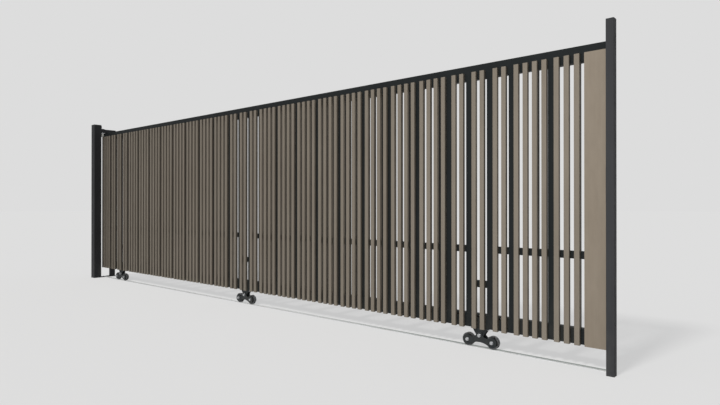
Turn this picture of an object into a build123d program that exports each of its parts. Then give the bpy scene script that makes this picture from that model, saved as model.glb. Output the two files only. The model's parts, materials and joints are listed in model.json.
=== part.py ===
from build123d import *
from math import sqrt
import os

os.makedirs("parts", exist_ok=True)

# Sliding garden gate, millimetres. X runs along the leaf, +X towards the catch post.
# Y = 0 is the middle plane of the leaf and of the ground track, -Y is the slatted face.
# Z = 0 is the ground. X = 0 is the middle bogie with the gate shut.

# ---- Leaf frame ----
frame_depth = 45.0
frame_wall = 3.0
tube_corner = 2.5
stile_width = 45.0
leaf_underside = 131.0
leaf_top = 1862.0
top_rail_height = 95.0
bottom_rail_height = 92.0
rail_cap_thickness = 3.0

# ---- Bays: stiles stand at a narrow pitch over each bogie and at a wide pitch between ----
bogie_bay_pitch = 153.4
slat_bay_pitch = 255.0
bays_between_bogies = 8
slats_per_bay = 4
bays_past_right_bogie = 1
bogie_names = ("left", "middle", "right")

# ---- Slats ----
slat_width = 32.0
slat_depth = 23.0
slat_wall = 1.8
slat_corner = 3.0
slat_pitch = 60.0
slat_bottom = 128.0
slat_top = 1814.0
slat_cap_thickness = 2.0
rib_thickness = 8.0
bogie_rib_depth = 10.0
stiffened_slat = 2

# ---- Closing panel at the catch end ----
slats_before_panel = 3
panel_width = 133.4
panel_sheet = 2.0
panel_corner = 3.0

# ---- Crossbars ----
crossbar_height = 45.0
crossbar_depth = 20.0
crossbar_middle = 648.5
bogie_crossbar_middle = 420.5

# ---- Long slots through the bottom rail in the bays over a bogie ----
rail_slot_length = 60.0
rail_slot_height = 11.0
rail_slot_middle = 206.5

# ---- Ground track ----
track_width = 40.0
track_base = 2.5
ridge_radius = 6.0
track_joint_gap = 1.0
track_hole_radius = 3.0
track_hole_row = 14.0
track_hole_pitch = 500.0
track_hole_margin = 66.0

# ---- Bogies ----
wheel_radius = 42.0
wheel_tread_width = 28.0
wheel_hub_radius = 19.0
wheel_hub_width = 37.0
wheel_recess_inner = 20.0
wheel_recess_outer = 33.0
wheel_recess_depth = 5.0
wheel_hole_radius = 4.0
wheel_holes = 6
wheel_edge_round = 1.5
wheel_tip_height = 4.0
tread_clearance = 0.8
wheelbase = 178.0
pivot_above_axles = 36.0
rocker_gap = 38.0
rocker_thickness = 5.0
rocker_edge_round = 0.8
lobe_radius = 33.0
hub_radius = 24.0
neck_blend_radius = 30.0
arch_crown_below_axles = 7.0
cheek_thickness = 5.0
cheek_play = 0.8
cheek_nose_radius = 21.0
cheek_top_width = 100.0
bracket_plate_length = 124.0
bracket_plate_thickness = 6.0
bolt_radius = 6.0
running_clearance = 0.05
bolt_head_width = 19.0
bolt_head_height = 7.5
nut_height = 10.0
bolt_end = 4.0
washer_radius = 12.0
washer_thickness = 2.0
washer_play = 0.4
bearing_radius = 14.0
bearing_width = 8.0
bearing_bridge_radius = 9.0
bush_radius = 9.0
bracket_bolt_spacing = 104.0
bracket_bolt_radius = 5.0
bracket_bolt_head_width = 17.0
bracket_bolt_head_height = 6.4
bracket_nut_height = 8.4

# ---- Portal: the leaf slides between a tall front post and a slim rear post ----
post_above_bracket = 11.0
portal_post_size = 90.0
portal_post_wall = 4.0
rear_post_size = 55.0
rear_post_wall = 3.0
front_post_to_middle = 64.0
rear_post_to_middle = 69.0
portal_plate_thickness = 6.0
track_channel_width = 60.0
anchor_hole_radius = 6.5
anchor_spacing_x = 54.0
anchor_spacing_y = 96.0
top_bar_width = 80.0
top_bar_height = 40.0
top_bar_wall = 3.0
top_bar_clearance = 10.0
post_corner = 4.0
post_cap_thickness = 4.0
bar_bracket_leg = 42.0
bar_bracket_thickness = 5.0
bar_bolt_from_corner = 26.0
screw_end = 8.0
bar_bolt_spacing = 46.0
bar_bolt_radius = 4.0
bar_bolt_head_width = 13.0
bar_bolt_head_height = 5.3

# ---- Guide rollers under the top bar ----
roller_radius = 17.5
roller_height = 30.0
roller_spacing = 44.0
roller_play = 0.5
roller_above_slats = 8.0
roller_edge_round = 2.0
spindle_radius = 5.0
spindle_hole_clearance = 0.2
spindle_head_radius = 9.0
spindle_head_height = 4.0
spindle_nut_width = 17.0
spindle_nut_height = 8.0
spindle_shoulder_radius = 8.0
spindle_end_play = 0.4
spindle_thread_end = 3.0

# ---- Catch post and receiver ----
catch_post_width = 44.0
catch_post_depth = 45.0
catch_post_wall = 3.0
catch_post_corner = 3.0
catch_foot_thickness = 8.0
foot_thread_radius = 5.1
leaf_to_catch_post = 1.0
panel_to_catch_post = 7.5
pier_hole_radius = 4.5
pier_hole_spacing = 1400.0
pier_hole_lowest = 280.0
receiver_height = 200.0
receiver_middle = 1050.0
receiver_sheet = 4.0
receiver_lip = 14.0
receiver_inset = 3.0
receiver_cheek_length = 70.0
receiver_play = 4.5
buffer_thickness = 10.0
buffer_width = 40.0
buffer_height = 120.0
buffer_gap = 1.0
buffer_corner = 4.0
receiver_screw_spacing = 140.0
receiver_screw_radius = 3.0
receiver_screw_head_width = 10.0
receiver_screw_head_height = 4.0

# ---- Worked out from the values above ----
bogie_spacing = 3 * bogie_bay_pitch + bays_between_bogies * slat_bay_pitch
bogie_x = [-bogie_spacing, 0.0, bogie_spacing]
stile_offsets = [-1.5 * bogie_bay_pitch, -0.5 * bogie_bay_pitch, 0.5 * bogie_bay_pitch, 1.5 * bogie_bay_pitch]
last_stile = stile_offsets[3]
slat_end_offset = (slat_bay_pitch - (slats_per_bay - 1) * slat_pitch) / 2
frame_front = -frame_depth / 2
frame_back = frame_depth / 2
slat_middle_y = frame_front - slat_depth / 2
slat_front = frame_front - slat_depth
crossbar_middle_y = frame_front + crossbar_depth / 2
bottom_rail_top = leaf_underside + bottom_rail_height
top_rail_underside = leaf_top - top_rail_height
axle_z = wheel_tip_height + wheel_radius
pivot_z = axle_z + pivot_above_axles
rocker_inner = rocker_gap / 2
rocker_outer = rocker_inner + rocker_thickness
cheek_outer = rocker_inner - cheek_play

left_end_stile = bogie_x[0] - last_stile - slat_bay_pitch
leaf_left = left_end_stile - stile_width / 2
right_bay_stile = bogie_x[2] + last_stile + bays_past_right_bogie * slat_bay_pitch
panel_left = right_bay_stile + slat_end_offset + slats_before_panel * slat_pitch - slat_width / 2
leaf_right = panel_left + panel_width
right_end_stile = leaf_right - stile_width / 2
portal_x = left_end_stile
portal_right = portal_x + portal_post_size / 2
portal_left = portal_x - portal_post_size / 2
front_post_y = -front_post_to_middle - portal_post_size / 2
rear_post_y = rear_post_to_middle + rear_post_size / 2
top_bar_underside = leaf_top + top_bar_clearance
bar_top = top_bar_underside + top_bar_height
post_height = bar_top + bar_bracket_leg + post_above_bracket
catch_left = leaf_right + leaf_to_catch_post
catch_right = catch_left + catch_post_width
catch_back = slat_front - panel_to_catch_post
catch_middle_y = catch_back - catch_post_depth / 2
receiver_web = leaf_right + buffer_gap + buffer_thickness


def bay_slats(first_stile, count=slats_per_bay):
    """Slat centres in the wide bay that starts at this stile."""
    return [first_stile + slat_end_offset + i * slat_pitch for i in range(count)]


def bogie_slats(x):
    """Slat centres in the three narrow bays over a bogie: one pair in each."""
    bays = (-bogie_bay_pitch, 0.0, bogie_bay_pitch)
    return [x + bay + side * slat_pitch / 2 for bay in bays for side in (-1, 1)]


def section_bays(x):
    """The stiles that start the wide bays to the right of a bogie."""
    return [x + last_stile + i * slat_bay_pitch for i in range(bays_between_bogies)]


def facing_front(x, y, z):
    """A plane whose normal points to the slatted face, with its own x along the leaf and y up."""
    return Plane(origin=(x, y, z), x_dir=(1, 0, 0), z_dir=(0, -1, 0))


def finish(part, name):
    part.label = name
    export_step(part, "parts/" + name + ".step")


def finish_group(name, pieces):
    """Loose pieces that are handled as one set, such as bolts with their washers and nuts."""
    export_step(Compound(label=name, children=pieces), "parts/" + name + ".step")


left_bay_start = left_end_stile
wide_bays = [left_bay_start] + section_bays(bogie_x[0]) + section_bays(bogie_x[1])
wide_bays += [bogie_x[2] + last_stile + i * slat_bay_pitch for i in range(bays_past_right_bogie)]
stile_x = sorted(
    [left_end_stile, right_end_stile, right_bay_stile]
    + [x + offset for x in bogie_x for offset in stile_offsets]
    + section_bays(bogie_x[0])[1:]
    + section_bays(bogie_x[1])[1:]
)
slat_groups = {
    "left_end_slats": bay_slats(left_bay_start) + bogie_slats(bogie_x[0]),
    "left_section_slats": [x for bay in section_bays(bogie_x[0]) for x in bay_slats(bay)],
    "middle_slats": bogie_slats(bogie_x[1]),
    "right_section_slats": [x for bay in section_bays(bogie_x[1]) for x in bay_slats(bay)],
    "right_end_slats": bogie_slats(bogie_x[2])
    + bay_slats(bogie_x[2] + last_stile)
    + bay_slats(right_bay_stile, slats_before_panel),
}


# ---------------------------------------------------------------- leaf frame
def hollow_rail(name, underside, height, slots, bolt_holes):
    with BuildPart() as rail:
        with BuildSketch(Plane.YZ.offset(leaf_left + rail_cap_thickness)):
            with Locations((0, underside + height / 2)):
                RectangleRounded(frame_depth, height, tube_corner)
                Rectangle(frame_depth - 2 * frame_wall, height - 2 * frame_wall, mode=Mode.SUBTRACT)
        extrude(amount=leaf_right - leaf_left - 2 * rail_cap_thickness)
        if slots:
            with BuildSketch(Plane.XZ):
                with Locations(*[(x, rail_slot_middle) for x in slots]):
                    SlotOverall(rail_slot_length, rail_slot_height)
            extrude(amount=frame_depth, both=True, mode=Mode.SUBTRACT)
        if bolt_holes:
            with BuildSketch(Plane.XY.offset(underside)):
                with Locations(*[(x, 0) for x in bolt_holes]):
                    Circle(bracket_bolt_radius)
            extrude(amount=frame_wall, mode=Mode.SUBTRACT)
    finish(rail.part, name)


slot_x = [x + bay for x in bogie_x for bay in (-bogie_bay_pitch, 0.0, bogie_bay_pitch)]
bracket_bolt_x = [x + side * bracket_bolt_spacing / 2 for x in bogie_x for side in (-1, 1)]
hollow_rail("top_rail", top_rail_underside, top_rail_height, [], [])
hollow_rail("bottom_rail", leaf_underside, bottom_rail_height, slot_x, bracket_bolt_x)

with BuildPart() as stiles:
    with BuildSketch(Plane.XY.offset(bottom_rail_top)):
        with Locations(*[(x, 0) for x in stile_x]):
            RectangleRounded(stile_width, frame_depth, tube_corner)
            Rectangle(stile_width - 2 * frame_wall, frame_depth - 2 * frame_wall, mode=Mode.SUBTRACT)
    extrude(amount=top_rail_underside - bottom_rail_top)
finish(stiles.part, "stiles")

with BuildPart() as rail_end_caps:
    cap_planes = (leaf_left, leaf_right - rail_cap_thickness)
    for cap_x in cap_planes:
        with BuildSketch(Plane.YZ.offset(cap_x)):
            with Locations((0, top_rail_underside + top_rail_height / 2)):
                RectangleRounded(frame_depth, top_rail_height, tube_corner)
            with Locations((0, leaf_underside + bottom_rail_height / 2)):
                RectangleRounded(frame_depth, bottom_rail_height, tube_corner)
        extrude(amount=rail_cap_thickness)
finish(rail_end_caps.part, "rail_end_caps")

# A crossbar fills each bay between two stiles. It sits lower over a bogie's middle.
with BuildPart() as crossbars:
    for left_stile, right_stile in zip(stile_x, stile_x[1:]):
        bay_middle = (left_stile + right_stile) / 2
        over_bogie = min(abs(bay_middle - x) for x in bogie_x) < bogie_bay_pitch / 2
        middle_z = bogie_crossbar_middle if over_bogie else crossbar_middle
        with BuildSketch(Plane.YZ.offset(left_stile + stile_width / 2)):
            with Locations((crossbar_middle_y, middle_z)):
                Rectangle(crossbar_depth, crossbar_height)
        extrude(amount=right_stile - left_stile - stile_width)
finish(crossbars.part, "crossbars")

# A narrow rib backs every slat, one length below the crossbar and one above it.
with BuildPart() as slat_ribs:
    wide_bay_slats = [x for bay in wide_bays for x in bay_slats(bay)]
    wide_bay_slats += bay_slats(right_bay_stile, slats_before_panel)
    middle_pairs = [x + side * slat_pitch / 2 for x in bogie_x for side in (-1, 1)]
    outer_pairs = [x for bogie in bogie_x for x in bogie_slats(bogie) if x not in middle_pairs]
    for centres, bar_z, rib_depth in (
        (wide_bay_slats, crossbar_middle, crossbar_depth),
        (outer_pairs, crossbar_middle, bogie_rib_depth),
        (middle_pairs, bogie_crossbar_middle, bogie_rib_depth),
    ):
        lower_rib = (bottom_rail_top, bar_z - crossbar_height / 2)
        upper_rib = (bar_z + crossbar_height / 2, top_rail_underside)
        for foot, top in (lower_rib, upper_rib):
            with BuildSketch(Plane.XY.offset(foot)):
                with Locations(*[(x, frame_front + rib_depth / 2) for x in centres]):
                    Rectangle(rib_thickness, rib_depth)
            extrude(amount=top - foot)
finish(slat_ribs.part, "slat_ribs")

# A flat bar behind the third slat of every wide bay makes its rib as deep as the frame.
with BuildPart() as slat_stiffeners:
    stiffener_depth = frame_depth - crossbar_depth
    stiffener_y = frame_back - stiffener_depth / 2
    stiffener_x = [bay_slats(bay)[stiffened_slat] for bay in wide_bays + [right_bay_stile]]
    with BuildSketch(Plane.XY.offset(bottom_rail_top)):
        with Locations(*[(x, stiffener_y) for x in stiffener_x]):
            Rectangle(rib_thickness, stiffener_depth)
    extrude(amount=top_rail_underside - bottom_rail_top)
finish(slat_stiffeners.part, "slat_stiffeners")


# ---------------------------------------------------------------- slats
for group_name, centres in slat_groups.items():
    with BuildPart() as slats:
        with BuildSketch(Plane.XY.offset(slat_bottom + slat_cap_thickness)):
            with Locations(*[(x, slat_middle_y) for x in centres]):
                RectangleRounded(slat_width, slat_depth, slat_corner)
                RectangleRounded(
                    slat_width - 2 * slat_wall,
                    slat_depth - 2 * slat_wall,
                    slat_corner - slat_wall,
                    mode=Mode.SUBTRACT,
                )
        extrude(amount=slat_top - slat_bottom - 2 * slat_cap_thickness)
    finish(slats.part, group_name)

with BuildPart() as slat_caps:
    for cap_z in (slat_bottom, slat_top - slat_cap_thickness):
        with BuildSketch(Plane.XY.offset(cap_z)):
            for centres in slat_groups.values():
                with Locations(*[(x, slat_middle_y) for x in centres]):
                    RectangleRounded(slat_width, slat_depth, slat_corner)
        extrude(amount=slat_cap_thickness)
finish(slat_caps.part, "slat_caps")

# The closing panel is a folded tray, open towards the frame.
with BuildPart() as closing_panel:
    panel_height = slat_top - slat_bottom
    with BuildSketch(Plane.XZ.offset(-slat_front)):
        with Locations((panel_left + panel_width / 2, slat_bottom + panel_height / 2)):
            RectangleRounded(panel_width, panel_height, panel_corner)
    extrude(amount=-slat_depth)
    offset(amount=-panel_sheet, openings=closing_panel.faces().sort_by(Axis.Y)[-1])
finish(closing_panel.part, "closing_panel")


# ---------------------------------------------------------------- ground track
track_left = portal_left
track_right = receiver_web + receiver_sheet
base_left = portal_right
track_length = track_right - base_left
track_joint = base_left + track_length / 2
with BuildPart() as track:
    spans = ((base_left, track_left, track_joint), (track_joint, track_joint, track_right))
    for base_start, ridge_start, end in spans:
        with BuildSketch(Plane.YZ.offset(base_start)):
            with Locations((0, track_base / 2)):
                Rectangle(track_width, track_base)
        extrude(amount=end - base_start)
        with BuildSketch(Plane.YZ.offset(ridge_start)):
            with Locations((0, track_base)):
                Circle(ridge_radius)
            with Locations((0, track_base - ridge_radius / 2)):
                Rectangle(2 * ridge_radius, ridge_radius, mode=Mode.SUBTRACT)
        extrude(amount=end - ridge_start)
    with BuildSketch(Plane.YZ.offset(track_joint - track_joint_gap / 2)):
        Rectangle(track_width, 4 * (track_base + ridge_radius))
    extrude(amount=track_joint_gap, mode=Mode.SUBTRACT)
    hole_count = int((track_length / 2 - 2 * track_hole_margin) / track_hole_pitch) + 1
    from_joint = [track_hole_margin + i * track_hole_pitch for i in range(hole_count)]
    hole_x = [track_joint + side * distance for side in (-1, 1) for distance in from_joint]
    with BuildSketch(Plane.XY):
        with Locations(*[(x, side * track_hole_row) for x in hole_x for side in (-1, 1)]):
            Circle(track_hole_radius)
    extrude(amount=track_base, mode=Mode.SUBTRACT)
finish(track.part, "track")


# ---------------------------------------------------------------- bogies
def neck_blend_centre():
    """Centre of the circle that touches hub and lobe from above, right of the pivot."""
    hub_reach = hub_radius + neck_blend_radius
    lobe_reach = lobe_radius + neck_blend_radius
    half_base = wheelbase / 2
    span = sqrt(half_base**2 + pivot_above_axles**2)
    along = (span**2 + hub_reach**2 - lobe_reach**2) / (2 * span)
    across = sqrt(hub_reach**2 - along**2)
    x = (along * half_base + across * pivot_above_axles) / span
    z = pivot_above_axles + (across * half_base - along * pivot_above_axles) / span
    return x, z


def rocker_plates(name, x):
    """Two plates: a hub at the pivot, a lobe at each axle and an arch that touches both lobes."""
    half_base = wheelbase / 2
    blend_x, blend_z = neck_blend_centre()
    crown = arch_crown_below_axles
    arch_radius = (half_base**2 + crown**2 - lobe_radius**2) / (2 * (lobe_radius - crown))
    foot_share = lobe_radius / (arch_radius + lobe_radius)
    foot_x = half_base * (1 - foot_share)
    foot_z = -(arch_radius + crown) * foot_share
    with BuildPart() as plates:
        for front_y in (-rocker_outer, rocker_inner):
            with BuildSketch(facing_front(x, front_y, axle_z)):
                Polygon(
                    (-half_base, 0),
                    (-foot_x, foot_z),
                    (foot_x, foot_z),
                    (half_base, 0),
                    (blend_x, blend_z),
                    (0, pivot_above_axles),
                    (-blend_x, blend_z),
                    align=None,
                )
                with Locations((blend_x, blend_z), (-blend_x, blend_z)):
                    Circle(neck_blend_radius, mode=Mode.SUBTRACT)
                with Locations((0, -crown - arch_radius)):
                    Circle(arch_radius, mode=Mode.SUBTRACT)
                with Locations((-half_base, 0), (half_base, 0)):
                    Circle(lobe_radius)
                    Circle(bolt_radius, mode=Mode.SUBTRACT)
                with Locations((0, pivot_above_axles)):
                    Circle(hub_radius)
                    Circle(bush_radius, mode=Mode.SUBTRACT)
            extrude(amount=-rocker_thickness)
        rims = plates.faces().filter_by(Axis.Y).edges().filter_by(lambda edge: not edge.is_closed)
        fillet(rims, rocker_edge_round)
    finish(plates.part, name)


def bushes(name, x):
    with BuildPart() as pair:
        for front_y in (-rocker_outer, rocker_inner):
            with BuildSketch(facing_front(x, front_y, pivot_z)):
                Circle(bush_radius)
                Circle(bolt_radius + running_clearance, mode=Mode.SUBTRACT)
            extrude(amount=-rocker_thickness)
    finish(pair.part, name)


def through_bolts(name, centres, play):
    """Hexagon bolts across both rocker plates, with washers that stand off by this play."""
    washer_inner = rocker_outer + play
    washer_outer = washer_inner + washer_thickness
    with BuildPart() as bolts:
        for x, z in centres:
            with BuildSketch(facing_front(x, -washer_outer, z)):
                RegularPolygon(bolt_head_width / 2, 6, major_radius=False)
            extrude(amount=bolt_head_height)
            with BuildSketch(facing_front(x, -washer_outer, z)):
                Circle(bolt_radius)
            extrude(amount=-(2 * washer_outer + nut_height + bolt_end))
    with BuildPart() as washers:
        for x, z in centres:
            for front_y in (-washer_outer, washer_inner):
                with BuildSketch(facing_front(x, front_y, z)):
                    Circle(washer_radius)
                    Circle(bolt_radius, mode=Mode.SUBTRACT)
                extrude(amount=-washer_thickness)
    with BuildPart() as nuts:
        for x, z in centres:
            with BuildSketch(facing_front(x, washer_outer, z)):
                RegularPolygon(bolt_head_width / 2, 6, major_radius=False)
                Circle(bolt_radius, mode=Mode.SUBTRACT)
            extrude(amount=-nut_height)
    finish_group(name, [bolts.part, washers.part, nuts.part])


def bracket(name, x):
    cheek_inner = cheek_outer - cheek_thickness
    plate_z = leaf_underside - bracket_plate_thickness
    with BuildPart() as carrier:
        with BuildSketch(Plane.XY.offset(plate_z)):
            with Locations((x, 0)):
                Rectangle(bracket_plate_length, frame_depth)
            with Locations(*[(x + side * bracket_bolt_spacing / 2, 0) for side in (-1, 1)]):
                Circle(bracket_bolt_radius, mode=Mode.SUBTRACT)
        extrude(amount=bracket_plate_thickness)
        for front_y in (-cheek_outer, cheek_inner):
            with BuildSketch(facing_front(x, front_y, pivot_z)):
                Circle(cheek_nose_radius)
                with Locations((0, plate_z - pivot_z - cheek_thickness / 2)):
                    Rectangle(cheek_top_width, cheek_thickness)
                make_hull()
                Circle(bolt_radius, mode=Mode.SUBTRACT)
            extrude(amount=-cheek_thickness)
        with BuildSketch(facing_front(x, -cheek_inner, pivot_z)):
            Circle(cheek_nose_radius - cheek_thickness)
            Circle(bolt_radius, mode=Mode.SUBTRACT)
        extrude(amount=-2 * cheek_inner)
    finish(carrier.part, name)


def wheel(name, x):
    axle = facing_front(x, 0, axle_z)
    groove_centre = axle_z - track_base
    with BuildPart() as disc:
        with BuildSketch(axle):
            Circle(wheel_radius)
        extrude(amount=wheel_tread_width / 2, both=True)
        fillet(disc.edges(), wheel_edge_round)
        for side in (-1, 1):
            with BuildSketch(axle.offset(side * (wheel_tread_width / 2 - wheel_recess_depth))):
                Circle(wheel_recess_outer)
                Circle(wheel_recess_inner, mode=Mode.SUBTRACT)
            extrude(amount=side * wheel_recess_depth, mode=Mode.SUBTRACT)
        with BuildSketch(axle):
            Circle(wheel_hub_radius)
        extrude(amount=wheel_hub_width / 2, both=True)
        with BuildSketch(axle):
            Circle(bearing_bridge_radius)
        extrude(amount=wheel_hub_width, both=True, mode=Mode.SUBTRACT)
        for side in (-1, 1):
            with BuildSketch(axle.offset(side * (wheel_hub_width / 2 - bearing_width))):
                Circle(bearing_radius)
            extrude(amount=side * bearing_width, mode=Mode.SUBTRACT)
        with BuildSketch(axle):
            with PolarLocations((wheel_recess_inner + wheel_recess_outer) / 2, wheel_holes):
                Circle(wheel_hole_radius)
        extrude(amount=wheel_tread_width, both=True, mode=Mode.SUBTRACT)
        with BuildSketch(Plane(origin=(x, 0, axle_z), x_dir=(0, 1, 0), z_dir=(1, 0, 0))):
            with Locations((0, -groove_centre)):
                Circle(ridge_radius + tread_clearance)
        revolve(axis=Axis((x, 0, axle_z), (0, 1, 0)), mode=Mode.SUBTRACT)
    finish(disc.part, name)


def bearings(name, x):
    axle = facing_front(x, 0, axle_z)
    with BuildPart() as pair:
        for side in (-1, 1):
            with BuildSketch(axle.offset(side * (wheel_hub_width / 2 - bearing_width))):
                Circle(bearing_radius)
                Circle(bolt_radius + running_clearance, mode=Mode.SUBTRACT)
            extrude(amount=side * bearing_width)
    finish(pair.part, name)


for bogie_name, middle_x in zip(bogie_names, bogie_x):
    wheel_x = {"left": middle_x - wheelbase / 2, "right": middle_x + wheelbase / 2}
    bracket(bogie_name + "_bogie_bracket", middle_x)
    through_bolts(bogie_name + "_pivot_bolt", [(middle_x, pivot_z)], washer_play)
    rocker_plates(bogie_name + "_rocker_plates", middle_x)
    bushes(bogie_name + "_pivot_bushes", middle_x)
    through_bolts(bogie_name + "_axle_bolts", [(x, axle_z) for x in wheel_x.values()], 0.0)
    for side_name, x in wheel_x.items():
        wheel(bogie_name + "_bogie_" + side_name + "_wheel", x)
        bearings(bogie_name + "_bogie_" + side_name + "_bearings", x)

bracket_bolt_locations = [(x, 0) for x in bracket_bolt_x]
with BuildPart() as bracket_bolts:
    head_top = leaf_underside - bracket_plate_thickness
    nut_seat = leaf_underside + frame_wall
    with BuildSketch(Plane.XY.offset(head_top - bracket_bolt_head_height)):
        with Locations(*bracket_bolt_locations):
            RegularPolygon(bracket_bolt_head_width / 2, 6, major_radius=False)
    extrude(amount=bracket_bolt_head_height)
    with BuildSketch(Plane.XY.offset(head_top)):
        with Locations(*bracket_bolt_locations):
            Circle(bracket_bolt_radius)
    extrude(amount=nut_seat - head_top + bracket_nut_height + bolt_end)
with BuildPart() as bracket_nuts:
    with BuildSketch(Plane.XY.offset(nut_seat)):
        with Locations(*bracket_bolt_locations):
            RegularPolygon(bracket_bolt_head_width / 2, 6, major_radius=False)
            Circle(bracket_bolt_radius, mode=Mode.SUBTRACT)
    extrude(amount=bracket_nut_height)
finish_group("bracket_bolts", [bracket_bolts.part, bracket_nuts.part])


# ---------------------------------------------------------------- portal
with BuildPart() as portal_base_plate:
    plate_front = front_post_y - portal_post_size / 2
    plate_back = rear_post_y + rear_post_size / 2
    with BuildSketch(Plane.XY):
        with Locations((portal_x, (plate_front + plate_back) / 2)):
            Rectangle(portal_post_size, plate_back - plate_front)
        with Locations((portal_x, 0)):
            with GridLocations(anchor_spacing_x, anchor_spacing_y, 2, 2):
                Circle(anchor_hole_radius, mode=Mode.SUBTRACT)
    extrude(amount=portal_plate_thickness)
    with BuildSketch(Plane.XY.offset(track_base)):
        with Locations((portal_x, 0)):
            Rectangle(portal_post_size, track_channel_width)
    extrude(amount=portal_plate_thickness - track_base, mode=Mode.SUBTRACT)
finish(portal_base_plate.part, "portal_base_plate")

bar_bolt_x = [portal_x + side * bar_bolt_spacing / 2 for side in (-1, 1)]
bar_front = front_post_y + portal_post_size / 2
bar_back = rear_post_y + rear_post_size / 2
upright_bolt_z = bar_top + bar_bolt_from_corner
flat_bolt_y = bar_front + bar_bolt_from_corner

with BuildPart() as portal_front_post:
    with BuildSketch(Plane.XY.offset(portal_plate_thickness)):
        with Locations((portal_x, front_post_y)):
            inner_size = portal_post_size - 2 * portal_post_wall
            RectangleRounded(portal_post_size, portal_post_size, post_corner)
            Rectangle(inner_size, inner_size, mode=Mode.SUBTRACT)
    extrude(amount=post_height - post_cap_thickness - portal_plate_thickness)
    with BuildSketch(Plane.XZ.offset(-bar_front)):
        with Locations(*[(x, upright_bolt_z) for x in bar_bolt_x]):
            Circle(bar_bolt_radius)
    extrude(amount=portal_post_wall, mode=Mode.SUBTRACT)
finish(portal_front_post.part, "portal_front_post")

with BuildPart() as portal_rear_post:
    with BuildSketch(Plane.XY.offset(portal_plate_thickness)):
        with Locations((portal_x, rear_post_y)):
            inner_size = rear_post_size - 2 * rear_post_wall
            RectangleRounded(rear_post_size, rear_post_size, post_corner)
            Rectangle(inner_size, inner_size, mode=Mode.SUBTRACT)
    extrude(amount=top_bar_underside - portal_plate_thickness)
finish(portal_rear_post.part, "portal_rear_post")

roller_y = frame_back + roller_play + roller_radius
roller_bottom = slat_top + roller_above_slats
roller_top = roller_bottom + roller_height
roller_places = {
    "front_left": (portal_x - roller_spacing / 2, -roller_y),
    "front_right": (portal_x + roller_spacing / 2, -roller_y),
    "rear_left": (portal_x - roller_spacing / 2, roller_y),
    "rear_right": (portal_x + roller_spacing / 2, roller_y),
}

with BuildPart() as portal_top_bar:
    bar_middle_y = (bar_front + bar_back) / 2
    bar_length = bar_back - bar_front
    with BuildSketch(Plane.XY.offset(top_bar_underside)):
        with Locations((portal_x, bar_middle_y)):
            Rectangle(top_bar_width, bar_length)
    extrude(amount=top_bar_height)
    with BuildSketch(Plane.XY.offset(top_bar_underside + top_bar_wall)):
        with Locations((portal_x, bar_middle_y)):
            Rectangle(top_bar_width - 2 * top_bar_wall, bar_length - 2 * top_bar_wall)
    extrude(amount=top_bar_height - 2 * top_bar_wall, mode=Mode.SUBTRACT)
    with BuildSketch(Plane.XY.offset(top_bar_underside)):
        with Locations(*roller_places.values()):
            Circle(spindle_radius + spindle_hole_clearance)
    extrude(amount=top_bar_wall, mode=Mode.SUBTRACT)
    with BuildSketch(Plane.XY.offset(bar_top)):
        with Locations(*[(x, flat_bolt_y) for x in bar_bolt_x]):
            Circle(bar_bolt_radius)
    extrude(amount=-top_bar_wall, mode=Mode.SUBTRACT)
finish(portal_top_bar.part, "portal_top_bar")

# An angle holds the bar's front end to the tall post.
with BuildPart() as top_bar_angle:
    with BuildSketch(Plane.YZ.offset(portal_x - top_bar_width / 2)):
        with BuildLine():
            Polyline(
                (bar_front, bar_top),
                (bar_front + bar_bracket_leg, bar_top),
                (bar_front + bar_bracket_leg, bar_top + bar_bracket_thickness),
                (bar_front + bar_bracket_thickness, bar_top + bar_bracket_thickness),
                (bar_front + bar_bracket_thickness, bar_top + bar_bracket_leg),
                (bar_front, bar_top + bar_bracket_leg),
                close=True,
            )
        make_face()
    extrude(amount=top_bar_width)
    with BuildSketch(Plane.XY.offset(bar_top)):
        with Locations(*[(x, flat_bolt_y) for x in bar_bolt_x]):
            Circle(bar_bolt_radius)
    extrude(amount=bar_bracket_thickness, mode=Mode.SUBTRACT)
    with BuildSketch(Plane.XZ.offset(-bar_front)):
        with Locations(*[(x, upright_bolt_z) for x in bar_bolt_x]):
            Circle(bar_bolt_radius)
    extrude(amount=-bar_bracket_thickness, mode=Mode.SUBTRACT)
finish(top_bar_angle.part, "top_bar_angle")

with BuildPart() as top_bar_bolts:
    with BuildSketch(Plane.XY.offset(bar_top + bar_bracket_thickness)):
        with Locations(*[(x, flat_bolt_y) for x in bar_bolt_x]):
            RegularPolygon(bar_bolt_head_width / 2, 6, major_radius=False)
    extrude(amount=bar_bolt_head_height)
    with BuildSketch(Plane.XY.offset(bar_top + bar_bracket_thickness)):
        with Locations(*[(x, flat_bolt_y) for x in bar_bolt_x]):
            Circle(bar_bolt_radius)
    extrude(amount=-(bar_bracket_thickness + top_bar_wall + screw_end))
    with BuildSketch(Plane.XZ.offset(-bar_front - bar_bracket_thickness)):
        with Locations(*[(x, upright_bolt_z) for x in bar_bolt_x]):
            RegularPolygon(bar_bolt_head_width / 2, 6, major_radius=False)
    extrude(amount=-bar_bolt_head_height)
    with BuildSketch(Plane.XZ.offset(-bar_front - bar_bracket_thickness)):
        with Locations(*[(x, upright_bolt_z) for x in bar_bolt_x]):
            Circle(bar_bolt_radius)
    extrude(amount=bar_bracket_thickness + portal_post_wall + screw_end)
finish(top_bar_bolts.part, "top_bar_bolts")

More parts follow.
